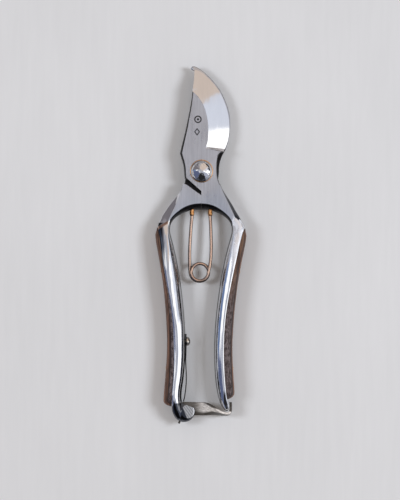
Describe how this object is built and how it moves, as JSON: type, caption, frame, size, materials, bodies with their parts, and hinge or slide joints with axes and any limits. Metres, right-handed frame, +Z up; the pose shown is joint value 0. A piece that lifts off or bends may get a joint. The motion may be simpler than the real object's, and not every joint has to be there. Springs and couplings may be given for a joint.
{
  "type": "floral snips",
  "caption": "Forged bypass snips with a hairpin spring between the handles, wood covers on their outer sides and a swinging end catch.",
  "frame": {"origin": "on the table below the middle of the snips, closed and latched", "axes": "+Y towards the tips along the middle of the snips, +Z up, blade on top, +X towards the blade's cutting edge"},
  "size_m": [0.0512, 0.2012, 0.0169],
  "materials": {
    "forged_steel": "mirror-polished handles with vertically brushed flats",
    "polished_steel": "polished",
    "plain_steel": "ground, slightly dull",
    "bronze": "satin",
    "spring_wire": "copper-coloured spring wire, satin",
    "grip_wood": "dark oiled hardwood"
  },
  "bodies": {
    "hook_side": {"hook_half": "forged_steel", "pivot_bolt": "polished_steel", "dome_washer": "bronze", "spring_washer": "plain_steel", "pivot_nut": "plain_steel", "grip_left": "grip_wood", "pin_left_upper": "bronze", "pin_left_lower": "bronze", "catch_pin": "plain_steel", "catch_leaf_spring": "plain_steel", "leaf_screw": "polished_steel"},
    "blade_side": {"blade_half": "forged_steel", "grip_right": "grip_wood", "pin_right_upper": "bronze", "pin_right_lower": "bronze"},
    "spring_left_leg": {"hairpin_spring": "spring_wire", "spring_end_left": "bronze"},
    "spring_right_leg": {"spring_end_right": "bronze"},
    "catch": {"catch_strap": "plain_steel"}
  },
  "joints": [
    {"name": "blade_open", "type": "hinge", "parent": "hook_side", "child": "blade_side", "pos_m": [0, 0.0415, 0.0075], "axis": [0, 0, 1], "range_deg": [0, 22]},
    {"name": "spring_swing", "type": "hinge", "parent": "hook_side", "child": "spring_left_leg", "pos_m": [-0.0051, 0.0202, 0.0075], "axis": [0, 0, 1], "range_deg": [0, 18]},
    {"name": "spring_flex", "type": "hinge", "parent": "spring_left_leg", "child": "spring_right_leg", "pos_m": [-0.00035, -0.0152, 0.0075], "axis": [0, 0, -1], "range_deg": [0, 13.1], "deforming": ["hairpin_spring"]},
    {"name": "catch_swing", "type": "hinge", "parent": "hook_side", "child": "catch", "pos_m": [-0.0085, -0.09335, 0.0075], "axis": [0, 0, -1], "range_deg": [0, 99.1]}
  ],
  "couplings": [
    {"joint": "spring_swing", "follows": "blade_open", "ratio": 0.8065},
    {"joint": "spring_flex", "follows": "blade_open", "ratio": 0.5903},
    {"joint": "catch_swing", "follows": "blade_open", "ratio": 4.5}
  ]
}
